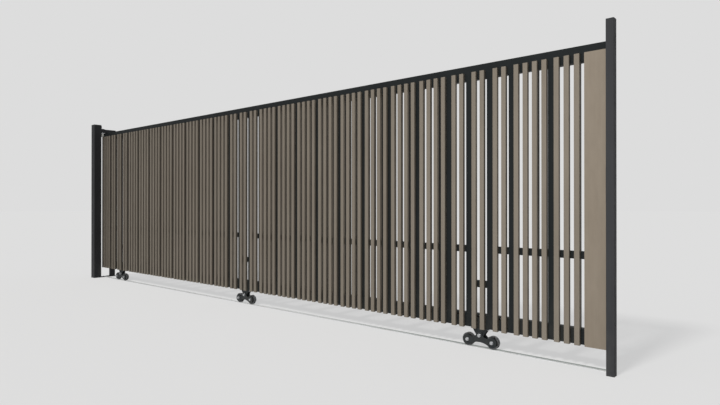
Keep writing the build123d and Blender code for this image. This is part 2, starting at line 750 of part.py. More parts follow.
# Each spindle hangs from the bar: a head under the roller, a shoulder above it, a nut each side of the wall.
with BuildPart() as roller_spindles:
    spindle_bottom = roller_bottom - spindle_end_play - spindle_head_height
    spindle_top = top_bar_underside + top_bar_wall + spindle_nut_height + spindle_thread_end
    with BuildSketch(Plane.XY.offset(spindle_bottom)):
        with Locations(*roller_places.values()):
            Circle(spindle_head_radius)
    extrude(amount=spindle_head_height)
    with BuildSketch(Plane.XY.offset(spindle_bottom)):
        with Locations(*roller_places.values()):
            Circle(spindle_radius)
    extrude(amount=spindle_top - spindle_bottom)
    shoulder_bottom = roller_top + spindle_end_play
    shoulder_top = top_bar_underside - spindle_nut_height
    with BuildSketch(Plane.XY.offset(shoulder_bottom)):
        with Locations(*roller_places.values()):
            Circle(spindle_shoulder_radius)
    extrude(amount=shoulder_top - shoulder_bottom)
with BuildPart() as spindle_nuts:
    for nut_bottom in (shoulder_top, top_bar_underside + top_bar_wall):
        with BuildSketch(Plane.XY.offset(nut_bottom)):
            with Locations(*roller_places.values()):
                RegularPolygon(spindle_nut_width / 2, 6, major_radius=False)
                Circle(spindle_radius, mode=Mode.SUBTRACT)
        extrude(amount=spindle_nut_height)
finish_group("roller_spindles", [roller_spindles.part, spindle_nuts.part])

for place_name, place in roller_places.items():
    with BuildPart() as guide_roller:
        with BuildSketch(Plane.XY.offset(roller_bottom)):
            with Locations(place):
                Circle(roller_radius)
        extrude(amount=roller_height)
        fillet(guide_roller.edges(), roller_edge_round)
        with BuildSketch(Plane.XY.offset(roller_bottom)):
            with Locations(place):
                Circle(spindle_radius + running_clearance)
        extrude(amount=roller_height, mode=Mode.SUBTRACT)
    finish(guide_roller.part, "guide_roller_" + place_name)


# ---------------------------------------------------------------- catch post and receiver
catch_x = catch_left + catch_post_width / 2
receiver_screw_x = (receiver_web + receiver_sheet + catch_right) / 2
receiver_screws_z = [receiver_middle + side * receiver_screw_spacing / 2 for side in (-1, 1)]

with BuildPart() as catch_post:
    with BuildSketch(Plane.XY.offset(catch_foot_thickness)):
        with Locations((catch_x, catch_middle_y)):
            RectangleRounded(catch_post_width, catch_post_depth, catch_post_corner)
            Rectangle(
                catch_post_width - 2 * catch_post_wall,
                catch_post_depth - 2 * catch_post_wall,
                mode=Mode.SUBTRACT,
            )
    extrude(amount=post_height - post_cap_thickness - catch_foot_thickness)
    with BuildSketch(Plane.YZ.offset(catch_left)):
        with Locations(*[(catch_middle_y, pier_hole_lowest + i * pier_hole_spacing) for i in range(2)]):
            Circle(pier_hole_radius)
    extrude(amount=catch_post_width, mode=Mode.SUBTRACT)
    with BuildSketch(Plane.XZ.offset(-catch_back)):
        with Locations(*[(receiver_screw_x, z) for z in receiver_screws_z]):
            Circle(receiver_screw_radius)
    extrude(amount=catch_post_wall, mode=Mode.SUBTRACT)
finish(catch_post.part, "catch_post")

with BuildPart() as catch_post_foot:
    with BuildSketch(Plane.XY):
        with Locations((catch_x, catch_middle_y)):
            RectangleRounded(catch_post_width, catch_post_depth, catch_post_corner)
            Circle(foot_thread_radius, mode=Mode.SUBTRACT)
    extrude(amount=catch_foot_thickness)
finish(catch_post_foot.part, "catch_post_foot")

with BuildPart() as post_caps:
    with BuildSketch(Plane.XY.offset(post_height - post_cap_thickness)):
        with Locations((portal_x, front_post_y)):
            RectangleRounded(portal_post_size, portal_post_size, post_corner)
        with Locations((catch_x, catch_middle_y)):
            RectangleRounded(catch_post_width, catch_post_depth, catch_post_corner)
    extrude(amount=post_cap_thickness)
    fillet(post_caps.faces().group_by(Axis.Z)[-1].edges(), post_cap_thickness / 2)
finish(post_caps.part, "post_caps")

# The receiver is a welded plate: a leg on the post, a web behind the leaf's end and a rear cheek.
with BuildPart() as receiver:
    leg_left = catch_left - receiver_lip
    leg_right = catch_right - receiver_inset
    cheek_front = frame_back + receiver_play
    cheek_back = cheek_front + receiver_sheet
    web_right = receiver_web + receiver_sheet
    with BuildSketch(Plane.XY.offset(receiver_middle - receiver_height / 2)):
        with BuildLine():
            Polyline(
                (leg_left, catch_back),
                (leg_right, catch_back),
                (leg_right, catch_back + receiver_sheet),
                (web_right, catch_back + receiver_sheet),
                (web_right, cheek_back),
                (web_right - receiver_cheek_length, cheek_back),
                (web_right - receiver_cheek_length, cheek_front),
                (receiver_web, cheek_front),
                (receiver_web, catch_back + receiver_sheet),
                (leg_left, catch_back + receiver_sheet),
                close=True,
            )
        make_face()
    extrude(amount=receiver_height)
    with BuildSketch(Plane.XZ.offset(-catch_back)):
        with Locations(*[(receiver_screw_x, z) for z in receiver_screws_z]):
            Circle(receiver_screw_radius)
    extrude(amount=-receiver_sheet, mode=Mode.SUBTRACT)
finish(receiver.part, "receiver")

with BuildPart() as receiver_buffer:
    with BuildSketch(Plane.YZ.offset(receiver_web - buffer_thickness)):
        with Locations((0, receiver_middle)):
            RectangleRounded(buffer_width, buffer_height, buffer_corner)
    extrude(amount=buffer_thickness)
finish(receiver_buffer.part, "receiver_buffer")

with BuildPart() as receiver_screws:
    screw_seat = Plane.XZ.offset(-catch_back - receiver_sheet)
    with BuildSketch(screw_seat):
        with Locations(*[(receiver_screw_x, z) for z in receiver_screws_z]):
            RegularPolygon(receiver_screw_head_width / 2, 6, major_radius=False)
    extrude(amount=-receiver_screw_head_height)
    with BuildSketch(screw_seat):
        with Locations(*[(receiver_screw_x, z) for z in receiver_screws_z]):
            Circle(receiver_screw_radius)
    extrude(amount=receiver_sheet + catch_post_wall + screw_end)
finish(receiver_screws.part, "receiver_screws")
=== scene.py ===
import json
from math import cos, pi, radians, sin, tan

import bmesh
import bpy
from mathutils import Matrix, Vector


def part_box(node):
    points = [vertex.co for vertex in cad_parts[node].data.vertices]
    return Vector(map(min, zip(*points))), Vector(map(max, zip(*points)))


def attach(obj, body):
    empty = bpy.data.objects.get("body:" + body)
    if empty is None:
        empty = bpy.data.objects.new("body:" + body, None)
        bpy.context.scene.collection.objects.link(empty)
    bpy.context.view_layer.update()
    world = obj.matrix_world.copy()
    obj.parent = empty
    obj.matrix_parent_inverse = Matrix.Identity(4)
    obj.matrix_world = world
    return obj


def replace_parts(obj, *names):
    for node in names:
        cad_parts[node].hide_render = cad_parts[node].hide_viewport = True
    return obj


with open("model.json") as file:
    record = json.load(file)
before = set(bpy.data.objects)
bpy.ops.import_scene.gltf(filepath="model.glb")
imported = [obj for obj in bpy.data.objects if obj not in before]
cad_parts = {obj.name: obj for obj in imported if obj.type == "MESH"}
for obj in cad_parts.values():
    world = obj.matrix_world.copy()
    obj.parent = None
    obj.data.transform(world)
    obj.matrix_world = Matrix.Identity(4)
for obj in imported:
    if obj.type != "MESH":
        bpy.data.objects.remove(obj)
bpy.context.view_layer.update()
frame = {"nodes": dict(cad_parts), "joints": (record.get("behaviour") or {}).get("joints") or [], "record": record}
nodes = frame["nodes"]
joints = {joint["name"]: joint for joint in frame["joints"]}
MM = 0.001
BOGIES = ("left", "middle", "right")


# ------------------------------------------------------------------ camera, floor and light
def srgb(level):
    """The linear value of a display level from 0 to 255."""
    share = level / 255
    return share / 12.92 if share <= 0.04045 else ((share + 0.055) / 1.055) ** 2.4


def colour(red, green, blue):
    """A colour from its display levels."""
    return (srgb(red), srgb(green), srgb(blue), 1.0)


CAMERA_PLACE = (4.333, -3.305, 0.943)
CAMERA_PITCH = radians(90.18)
CAMERA_HEADING = radians(41.2)
CAMERA_LENS = 28.0
CAMERA_SENSOR = 36.0
CAMERA_REACH = 300.0
BACKGROUND = colour(221, 221, 221)
FILL_COLOUR = (0.97, 0.985, 1.0, 1.0)
FILL_STRENGTH = 0.28
LAMP_COLOUR = (1.0, 0.985, 0.965)
SUN_STRENGTH = 1.55
SUN_TRAVEL = Vector((0.12, 1.73, -1.965))
SUN_ANGLE = radians(9)
SOFTBOX_PLACE = Vector((3.2, -3.8, 1.3))
SOFTBOX_AIM = Vector((2.6, 0.0, 1.1))
SOFTBOX_SIZE = 2.5
SOFTBOX_POWER = 112.0
FLOOR_HALF = 80.0
FLOOR_ALBEDO = 0.66
FLOOR_GLOW = 0.48
GLOW_STRENGTH = 1.47


def set_camera():
    """The photo's camera, solved from the straight lines of the gate."""
    bpy.context.scene.view_settings.view_transform = "Standard"
    camera_data = bpy.data.cameras.new("camera")
    camera_data.lens = CAMERA_LENS
    camera_data.sensor_width = CAMERA_SENSOR
    camera_data.clip_end = CAMERA_REACH
    camera = bpy.data.objects.new("camera", camera_data)
    camera.location = CAMERA_PLACE
    camera.rotation_euler = (CAMERA_PITCH, 0.0, CAMERA_HEADING)
    bpy.context.collection.objects.link(camera)
    bpy.context.scene.camera = camera


def seen_rays(tree):
    """1 for the rays that show a thing (camera, glossy and transmitted ones) and 0 for the rest."""
    path = tree.nodes.new("ShaderNodeLightPath")
    seen = path.outputs["Is Camera Ray"]
    for kind in ("Is Glossy Ray", "Is Transmission Ray"):
        either = tree.nodes.new("ShaderNodeMath")
        either.operation = "MAXIMUM"
        tree.links.new(seen, either.inputs[0])
        tree.links.new(path.outputs[kind], either.inputs[1])
        seen = either.outputs[0]
    return seen


def mix_to_output(tree, share, plain, shown, output_type):
    """Sends a mix of two shaders to the tree's output; a share of 0 is all plain, and 1 all shown."""
    mix = tree.nodes.new("ShaderNodeMixShader")
    tree.links.new(share, mix.inputs[0])
    tree.links.new(plain.outputs[0], mix.inputs[1])
    tree.links.new(shown.outputs[0], mix.inputs[2])
    output = tree.nodes.new(output_type)
    tree.links.new(mix.outputs[0], output.inputs[0])


def set_world():
    """Camera, glossy and transmitted rays see the pale background; the rest see the soft fill light."""
    world = bpy.data.worlds.new("studio")
    bpy.context.scene.world = world
    world.use_nodes = True
    tree = world.node_tree
    tree.nodes.clear()
    backdrop = tree.nodes.new("ShaderNodeBackground")
    backdrop.inputs["Color"].default_value = BACKGROUND
    fill = tree.nodes.new("ShaderNodeBackground")
    fill.inputs["Color"].default_value = FILL_COLOUR
    fill.inputs["Strength"].default_value = FILL_STRENGTH
    mix_to_output(tree, seen_rays(tree), fill, backdrop, "ShaderNodeOutputWorld")


def add_lamp(name, kind, energy, travel):
    """A lamp that shines in the direction of travel."""
    lamp_data = bpy.data.lights.new(name, kind)
    lamp_data.energy = energy
    lamp_data.color = LAMP_COLOUR
    lamp = bpy.data.objects.new(name, lamp_data)
    lamp.rotation_euler = travel.to_track_quat("-Z", "Y").to_euler()
    bpy.context.collection.objects.link(lamp)
    return lamp


def set_sun():
    """The sun stands high before the slatted face and gives the shadow behind the gate."""
    sun = add_lamp("sun", "SUN", SUN_STRENGTH, SUN_TRAVEL)
    sun.data.angle = SUN_ANGLE


def set_softbox(floor):
    """A wide lamp before the catch end: its light falls off towards the portal and leaves out the floor."""
    lamp = add_lamp("softbox", "AREA", SOFTBOX_POWER, SOFTBOX_AIM - SOFTBOX_PLACE)
    lamp.data.size = SOFTBOX_SIZE
    lamp.location = SOFTBOX_PLACE
    lamp.visible_camera = False
    lamp.visible_glossy = False
    unlit = bpy.data.collections.new("softbox_leaves_unlit")
    unlit.objects.link(floor)
    unlit.collection_objects[0].light_linking.link_state = "EXCLUDE"
    lamp.light_linking.receiver_collection = unlit


def make_floor():
    """A pale floor that takes a light shadow, and to other rays is plain matt."""
    mesh = bpy.data.meshes.new("floor")
    corners = [(x * FLOOR_HALF, y * FLOOR_HALF, 0.0) for x, y in ((-1, -1), (1, -1), (1, 1), (-1, 1))]
    mesh.from_pydata(corners, [], [(0, 1, 2, 3)])
    floor = bpy.data.objects.new("floor", mesh)
    bpy.context.collection.objects.link(floor)
    material = bpy.data.materials.new("floor")
    material.use_nodes = True
    tree = material.node_tree
    tree.nodes.clear()
    matt = tree.nodes.new("ShaderNodeBsdfDiffuse")
    matt.inputs["Color"].default_value = (FLOOR_ALBEDO, FLOOR_ALBEDO, FLOOR_ALBEDO, 1.0)
    glow = tree.nodes.new("ShaderNodeEmission")
    glow.inputs["Color"].default_value = BACKGROUND
    glow.inputs["Strength"].default_value = GLOW_STRENGTH
    share = tree.nodes.new("ShaderNodeMath")
    share.operation = "MULTIPLY"
    share.inputs[1].default_value = FLOOR_GLOW
    tree.links.new(seen_rays(tree), share.inputs[0])
    mix_to_output(tree, share.outputs[0], matt, glow, "ShaderNodeOutputMaterial")
    mesh.materials.append(material)
    return floor


# ------------------------------------------------------------------ materials
DUST = colour(168, 162, 150)
DUST_TOP = 0.45
STREAK_STRENGTH = 0.35
# Edges are lightened towards this grey partly as bared wear and partly as a painted highlight.
BARE_EDGE_AND_HIGHLIGHT = colour(150, 150, 150)
EDGE_REACH = 1.2 * MM
EDGE_SAMPLES = 4
FLAT_AGREEMENT = 0.99
EDGE_AGREEMENT = 0.8
SPANGLES_PER_METRE = 140.0
TRACK_DIRT_STRENGTH = 0.45
SCUFF_STRENGTH = 0.6
# The track's ridge is painted dark as painted shade of its shaded edge: pale from the portal end to the middle,
# full towards the catch end.
PALE_RIDGE = colour(206, 208, 208)
RIDGE_SHADE_START = 0.2
RIDGE_SHADE_FULL = 2.2
RIDGE_FOOT = 2.7 * MM
RIDGE_BLEND = 0.4 * MM
SLAT_COAT = {"roughness": 0.6, "specular": 0.15, "dust": 0.1, "dust_top": 0.5, "metallic": 0.5}
FRAME_COAT = {"roughness": 0.55, "specular": 0.12, "dust": 0.05, "wear_and_highlight": 0.35}
POST_COAT = {"roughness": 0.55, "specular": 0.1, "dust": 0.06, "wear_and_highlight": 0.35}
BOGIE_COAT = {"roughness": 0.45, "specular": 0.3, "dust": 0.08, "dust_top": 0.16, "wear_and_highlight": 0.5}


class Shader:
    """A Principled material whose nodes are added by short calls."""

    def __init__(self, name, roughness, metallic=0.0, specular=0.5):
        self.material = bpy.data.materials.new(name)
        self.material.use_nodes = True
        self.tree = self.material.node_tree
        self.surface = self.tree.nodes["Principled BSDF"]
        self.surface.inputs["Roughness"].default_value = roughness
        self.surface.inputs["Metallic"].default_value = metallic
        self.surface.inputs["Specular IOR Level"].default_value = specular
        self.place = self.tree.nodes.new("ShaderNodeTexCoord").outputs["Object"]

    def link(self, out, into):
        self.tree.links.new(out, into)

    def set_or_link(self, socket, value):
        """Gives a socket a constant, or the output of another node."""
        if isinstance(value, (int, float, tuple)):
            socket.default_value = value
        else:
            self.link(value, socket)

    def paint(self, socket_name, value):
        """Links an output to one of the surface's own sockets."""
        self.link(value, self.surface.inputs[socket_name])

    def noise(self, per_metre, detail=3.0, rough=0.55):
        """Noise with this many features in a metre along X, Y and Z."""
        mapping = self.tree.nodes.new("ShaderNodeMapping")
        mapping.inputs["Scale"].default_value = per_metre
        self.link(self.place, mapping.inputs["Vector"])
        texture = self.tree.nodes.new("ShaderNodeTexNoise")
        texture.inputs["Scale"].default_value = 1.0
        texture.inputs["Detail"].default_value = detail
        texture.inputs["Roughness"].default_value = rough
        self.link(mapping.outputs["Vector"], texture.inputs["Vector"])
        return texture.outputs["Fac"]

    def ramp(self, value, low, high, from_value=0.0, to_value=1.0):
        """Maps low..high of a value to from_value..to_value, clamped."""
        node = self.tree.nodes.new("ShaderNodeMapRange")
        node.inputs["From Min"].default_value = low
        node.inputs["From Max"].default_value = high
        node.inputs["To Min"].default_value = from_value
        node.inputs["To Max"].default_value = to_value
        self.link(value, node.inputs["Value"])
        return node.outputs["Result"]

    def times(self, first, second):
        """The product of two values, each a constant or a socket."""
        node = self.tree.nodes.new("ShaderNodeMath")
        node.operation = "MULTIPLY"
        self.set_or_link(node.inputs[0], first)
        self.set_or_link(node.inputs[1], second)
        return node.outputs[0]

    def mix(self, share, first, second):
        """Mixes two colours, each a constant or a socket."""
        node = self.tree.nodes.new("ShaderNodeMix")
        node.data_type = "RGBA"
        self.set_or_link(node.inputs["Factor"], share)
        self.set_or_link(node.inputs[6], first)
        self.set_or_link(node.inputs[7], second)
        return node.outputs[2]

    def coordinate(self, axis):
        """Place along one axis, in metres: X along the gate from its middle bogie, Z up from the ground."""
        node = self.tree.nodes.new("ShaderNodeSeparateXYZ")
        self.link(self.place, node.inputs[0])
        return node.outputs[axis]

    def edge(self, radius):
        """1 within this radius of an edge, 0 on flat faces, from how far the bevelled normal turns away."""
        bevel = self.tree.nodes.new("ShaderNodeBevel")
        bevel.samples = EDGE_SAMPLES
        bevel.inputs["Radius"].default_value = radius
        geometry = self.tree.nodes.new("ShaderNodeNewGeometry")
        dot = self.tree.nodes.new("ShaderNodeVectorMath")
        dot.operation = "DOT_PRODUCT"
        self.link(bevel.outputs[0], dot.inputs[0])
        self.link(geometry.outputs["Normal"], dot.inputs[1])
        return self.ramp(dot.outputs["Value"], FLAT_AGREEMENT, EDGE_AGREEMENT)

    def bump(self, height, distance, strength):
        node = self.tree.nodes.new("ShaderNodeBump")
        node.inputs["Distance"].default_value = distance
        node.inputs["Strength"].default_value = strength
        self.link(height, node.inputs["Height"])
        self.paint("Normal", node.outputs[0])


def dusty(shader, base, amount, top):
    """Lays dust that thins out up to a height and gathers in patches."""
    fall = shader.ramp(shader.coordinate("Z"), top, 0.0)
    patches = shader.ramp(shader.noise((14, 14, 5), detail=5.0, rough=0.65), 0.38, 0.68)
    return shader.mix(shader.times(shader.times(fall, patches), amount), base, DUST)


def rubbed_and_highlighted(shader, base, amount):
    """Bares patches along the edges: lighter grey that is partly rubbed wear and partly a painted edge highlight.
    """
    patches = shader.ramp(shader.noise((160, 160, 160), detail=4.0), 0.45, 0.62)
    return shader.mix(shader.times(shader.times(shader.edge(EDGE_REACH), patches), amount), base, BARE_EDGE_AND_HIGHLIGHT)


def powder_coat(
    name, base, darker, lighter, roughness, specular, dust, dust_top=DUST_TOP, wear_and_highlight=0.0, metallic=0.0
):
    """A sprayed coat: fine orange peel, faint cloudiness, rain streaks, dust low down, and edges lightened partly
    as rubbed wear and partly as a painted highlight.
    """
    shader = Shader(name, roughness, metallic, specular)
    clouds = shader.ramp(shader.noise((3.1, 3.1, 1.3), detail=4.0), 0.35, 0.65)
    streaks = shader.ramp(shader.noise((95, 95, 1.7)), 0.42, 0.75)
    cloudy = shader.mix(clouds, darker, base)
    streaked = shader.mix(shader.times(streaks, STREAK_STRENGTH), cloudy, lighter)
    coated = dusty(shader, streaked, dust, dust_top)
    if wear_and_highlight:
        coated = rubbed_and_highlighted(shader, coated, wear_and_highlight)
    shader.paint("Base Color", coated)
    sheen = shader.ramp(shader.noise((30, 30, 9)), 0.3, 0.7, roughness - 0.06, roughness + 0.08)
    shader.paint("Roughness", sheen)
    shader.bump(shader.noise((850, 850, 850), detail=2.0), distance=0.25 * MM, strength=0.5)
    return shader.material


def zinc_plate(name, base, tarnish, roughness):
    """Plated metal: cloudy brightness, small dull spots and a fine grain."""
    shader = Shader(name, roughness, metallic=1.0)
    spots = shader.ramp(shader.noise((210, 210, 210), detail=5.0, rough=0.7), 0.45, 0.7)
    shader.paint("Base Color", shader.mix(spots, base, tarnish))
    clouds = shader.noise((90, 90, 90), detail=4.0)
    shader.paint("Roughness", shader.ramp(clouds, 0.3, 0.7, roughness - 0.08, roughness + 0.14))
    shader.bump(shader.noise((700, 700, 700)), distance=0.08 * MM, strength=0.6)
    return shader.material


def rolled_track(name):
    """A pale galvanised strip whose ridge is painted dark as painted shade of its shaded edge, the painted shade
    growing towards the catch end.
    """
    shader = Shader(name, roughness=0.5, specular=0.35)
    spangle = shader.tree.nodes.new("ShaderNodeTexVoronoi")
    spangle.inputs["Scale"].default_value = SPANGLES_PER_METRE
    shader.link(shader.place, spangle.inputs["Vector"])
    crystals = shader.ramp(spangle.outputs["Distance"], 0.1, 0.7)
    strip = shader.mix(crystals, colour(214, 215, 215), colour(200, 202, 204))
    dirt = shader.ramp(shader.noise((5, 60, 60), detail=5.0, rough=0.65), 0.42, 0.75)
    strip = shader.mix(shader.times(dirt, TRACK_DIRT_STRENGTH), strip, colour(160, 154, 144))
    scratches = shader.ramp(shader.noise((9, 900, 900)), 0.4, 0.7)
    # The ridge's dark colour is painted shade, streaked along its length.
    ridge = shader.mix(scratches, colour(112, 118, 116), colour(146, 151, 149))
    # The painted shade on the ridge fades to pale towards the portal end.
    ridge_shade = shader.ramp(shader.coordinate("X"), RIDGE_SHADE_START, RIDGE_SHADE_FULL)
    ridge = shader.mix(ridge_shade, PALE_RIDGE, ridge)
    on_ridge = shader.ramp(shader.coordinate("Z"), RIDGE_FOOT, RIDGE_FOOT + RIDGE_BLEND)
    shader.paint("Base Color", shader.mix(on_ridge, strip, ridge))
    shader.bump(shader.noise((40, 500, 500), detail=4.0), distance=0.15 * MM, strength=0.5)
    return shader.material


def turned_steel(name, base, dark):
    """Wheel steel with a grain that is finest along the axle, and a patchy film of grease."""
    shader = Shader(name, roughness=0.42, metallic=1.0)
    film = shader.ramp(shader.noise((45, 45, 45), detail=5.0, rough=0.65), 0.38, 0.66)
    shader.paint("Base Color", shader.mix(film, base, dark))
    shader.paint("Roughness", shader.ramp(film, 0.0, 1.0, 0.34, 0.6))
    shader.bump(shader.noise((600, 1400, 600), detail=2.0), distance=0.1 * MM, strength=0.6)
    return shader.material


def moulded(name, base, stain, roughness, grain):
    """Nylon or rubber: fine moulded skin with grey scuffs."""
    shader = Shader(name, roughness, specular=0.4)
    scuffs = shader.ramp(shader.noise((60, 60, 200), detail=5.0, rough=0.65), 0.45, 0.72)
    shader.paint("Base Color", shader.mix(shader.times(scuffs, SCUFF_STRENGTH), base, stain))
    shader.bump(shader.noise((grain, grain, grain)), distance=0.12 * MM, strength=0.6)
    return shader.material


def make_materials():
    """One finish for each material slot of the record."""
    return {
        # The slats' coat is painted a little darker than the panel's, as painted shade between the slats; both are
        # one taupe coat.
        "slat_paint": powder_coat(
            "slat_paint", colour(131, 123, 112), colour(126, 118, 107), colour(136, 129, 118), **SLAT_COAT
        ),
        "panel_paint": powder_coat(
            "panel_paint", colour(138, 128, 115), colour(134, 124, 111), colour(142, 133, 121), **SLAT_COAT
        ),
        "frame_paint": powder_coat(
            "frame_paint", colour(28, 31, 32), colour(25, 28, 29), colour(34, 37, 37), **FRAME_COAT
        ),
        "post_paint": powder_coat(
            "post_paint", colour(53, 54, 56), colour(49, 50, 52), colour(59, 60, 62), **POST_COAT
        ),
        "bogie_paint": powder_coat(
            "bogie_paint", colour(27, 32, 34), colour(22, 27, 29), colour(37, 41, 43), **BOGIE_COAT
        ),
        "zinc": zinc_plate("zinc", colour(205, 207, 210), colour(150, 150, 148), roughness=0.3),
        "track_steel": rolled_track("track_steel"),
        "wheel_steel": turned_steel("wheel_steel", colour(120, 122, 124), colour(52, 50, 47)),
        "bearing_steel": zinc_plate(
            "bearing_steel", colour(190, 192, 196), colour(120, 118, 112), roughness=0.2
        ),
        "bush_bronze": zinc_plate("bush_bronze", colour(170, 124, 70), colour(96, 70, 42), roughness=0.36),
        "nylon": moulded("nylon", colour(222, 221, 214), colour(150, 148, 140), roughness=0.42, grain=500),
        "buffer_rubber": moulded(
            "buffer_rubber", colour(26, 26, 27), colour(70, 69, 66), roughness=0.7, grain=900
        ),
    }


# ------------------------------------------------------------------ mesh helpers
SMOOTH_BELOW = radians(32)
THREAD_STEPS = 32
ROUND_STEPS = 40
FINE_STEPS = 48


def piece_from(bm, name, slot, body, materials, smooth_below=SMOOTH_BELOW):
    """Turns a bmesh into a piece that rides on a body and takes its slot's finish."""
    bmesh.ops.recalc_face_normals(bm, faces=bm.faces)
    for face in bm.faces:
        face.smooth = True
    for edge in bm.edges:
        edge.smooth = edge.is_manifold and edge.calc_face_angle(pi) < smooth_below
    mesh = bpy.data.meshes.new(name)
    bm.to_mesh(mesh)
    bm.free()
    mesh.materials.append(materials[slot])
    piece = bpy.data.objects.new(name, mesh)
    bpy.context.collection.objects.link(piece)
    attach(piece, body)
    return piece


def skin(bm, lower, upper):
    """Joins two rings, or a ring and a point, with faces."""
    count = max(len(lower), len(upper))
    for i in range(count):
        j = (i + 1) % count
        if len(lower) == 1:
            bm.faces.new((lower[0], upper[j], upper[i]))
        elif len(upper) == 1:
            bm.faces.new((lower[i], lower[j], upper[0]))
        else:
            bm.faces.new((lower[i], lower[j], upper[j], upper[i]))


def point_at(bm, place, radius, angle, height):
    """A point by its radius, angle and height about local Z; place is the matrix of the local axes."""
    return bm.verts.new(place @ Vector((radius * cos(angle), radius * sin(angle), height)))


def turned(bm, place, profile, steps=ROUND_STEPS):
    """Revolves (radius, height) points about local Z; a radius of 0 closes an end with one point."""
    angles = [2 * pi * i / steps for i in range(steps)]
    rings = []
    for radius, height in profile:
        around = angles if radius else [0.0]
        rings.append([point_at(bm, place, radius, angle, height) for angle in around])
    for lower, upper in zip(rings, rings[1:]):
        skin(bm, lower, upper)


def rod(bm, place, radius, start, end, steps=ROUND_STEPS):
    """A plain round bar."""
    turned(bm, place, [(0, start), (radius, start), (radius, end), (0, end)], steps)


def to_front(x, z):
    """Local Z points towards the slatted face, from this point of the leaf's middle plane."""
    return Matrix.Translation((x, 0, z)) @ Matrix.Rotation(pi / 2, 4, "X")


def to_back(x, z):
    """Local Z points away from the slatted face, from this point of the leaf's middle plane."""
    return Matrix.Translation((x, 0, z)) @ Matrix.Rotation(-pi / 2, 4, "X")


def upward(x):
    """Local Z points up, from the ground under the leaf's middle plane."""
    return Matrix.Translation((x, 0, 0))


def downward(x):
    """Local Z points down, from the ground under the leaf's middle plane."""
    return Matrix.Translation((x, 0, 0)) @ Matrix.Rotation(pi, 4, "X")


# ------------------------------------------------------------------ bolts and nuts
M12_RADIUS = 6.0 * MM
M12_WIDTH = 19.0 * MM
M12_HEAD = 7.5 * MM
M12_NUT = 10.0 * MM
M12_PITCH = 1.75 * MM
M12_WASHER_RADIUS = 12.0 * MM
WASHER_THICKNESS = 2.0 * MM
M10_RADIUS = 5.0 * MM
M10_WIDTH = 17.0 * MM
M10_HEAD = 6.4 * MM
M10_NUT = 8.4 * MM
M10_PITCH = 1.5 * MM
BOLT_END = 4.0 * MM
BRACKET_BOLT_SPACING = 104.0 * MM
SEAT_FLANGE = 0.4 * MM

# Shares of a hexagon's width, of a washer's thickness and of a nut's height.
SEAT_RADIUS = 0.47
HEXAGON_FLAT = 0.475
WASHER_LIP = 0.25
COLLAR_RADIUS = 0.44
COLLAR_LIP = 0.1
COLLAR_FOOT = 0.68
CHAMFER_SLOPE = tan(radians(30))

# The collar's wall, its rolled edge as steps inwards and down from the outer top corner, and how far
# the insert stays under the top and slopes to the bolt, all in lips.
COLLAR_WALL = 2
COLLAR_EDGE = ((0, 1.4), (0.5, 0.4), (1.3, 0), (COLLAR_WALL, 0.2))
INSERT_DROP = 0.5
INSERT_SLOPE = 0.3

# Shares of a thread's pitch; the tip's cut is a share of the thread's depth.
THREAD_DEPTH = 0.61
CREST_START = 0.4
CREST_END = 0.55
TIP_LENGTH = 0.1
TIP_CUT = 1.4


def hexagon_reach(angle, width):
    """Distance from the middle of a hexagon to its side in this direction."""
    within = (angle + pi / 6) % (pi / 3) - pi / 6
    return width / 2 / cos(within)


def hexagon(bm, place, width, low, high, bore=0.0):
    """A hexagon head or nut whose upper corners are turned off at 30 degrees."""
    flat = HEXAGON_FLAT * width
    angles = [2 * pi * i / FINE_STEPS for i in range(FINE_STEPS)]
    side = [hexagon_reach(angle, width) for angle in angles]

    def ring(reaches, heights):
        return [point_at(bm, place, *where) for where in zip(reaches, angles, heights)]

    def circle(radius, height):
        return ring([radius] * FINE_STEPS, [height] * FINE_STEPS)

    low_edge = ring(side, [low] * FINE_STEPS)
    high_edge = ring(side, [high - (reach - flat) * CHAMFER_SLOPE for reach in side])
    high_flat = circle(flat, high)
    low_flat = circle(flat, low)
    skin(bm, low_flat, low_edge)
    skin(bm, low_edge, high_edge)
    skin(bm, high_edge, high_flat)
    if bore:
        high_bore = circle(bore, high)
        low_bore = circle(bore, low)
        skin(bm, high_flat, high_bore)
        skin(bm, high_bore, low_bore)
        skin(bm, low_bore, low_flat)
    else:
        skin(bm, high_flat, [point_at(bm, place, 0, 0, high)])
        skin(bm, low_flat, [point_at(bm, place, 0, 0, low)])


def head(bm, place, width, seat, top):
    """A bolt head on its thin washer face."""
    rod(bm, place, SEAT_RADIUS * width, seat, seat + SEAT_FLANGE, FINE_STEPS)
    hexagon(bm, place, width, seat + SEAT_FLANGE, top)


def thread(bm, place, radius, start, end, pitch):
    """A threaded end: one groove for each turn, then a chamfered tip."""
    depth = THREAD_DEPTH * pitch
    profile = [(0, start)]
    for i in range(int((end - start) / pitch)):
        base = start + i * pitch
        profile += [
            (radius - depth, base),
            (radius, base + CREST_START * pitch),
            (radius, base + CREST_END * pitch),
        ]
    profile += [(radius - depth, end - TIP_LENGTH * pitch), (radius - TIP_CUT * depth, end), (0, end)]
    turned(bm, place, profile, THREAD_STEPS)


def washer(bm, place, bore, radius, low, high):
    """A punched washer; only its hole's lower edge is left sharp."""
    lip = WASHER_LIP * (high - low)
    outside = [(radius - lip, low), (radius, low + lip), (radius, high - lip), (radius - lip, high)]
    profile = [(bore, low), *outside, (bore + lip, high), (bore, high - lip), (bore, low)]
    turned(bm, place, profile, FINE_STEPS)


def collar(width, low, high):
    """Foot height, outer radius and lip of a lock nut's collar."""
    return low + COLLAR_FOOT * (high - low), COLLAR_RADIUS * width, COLLAR_LIP * width


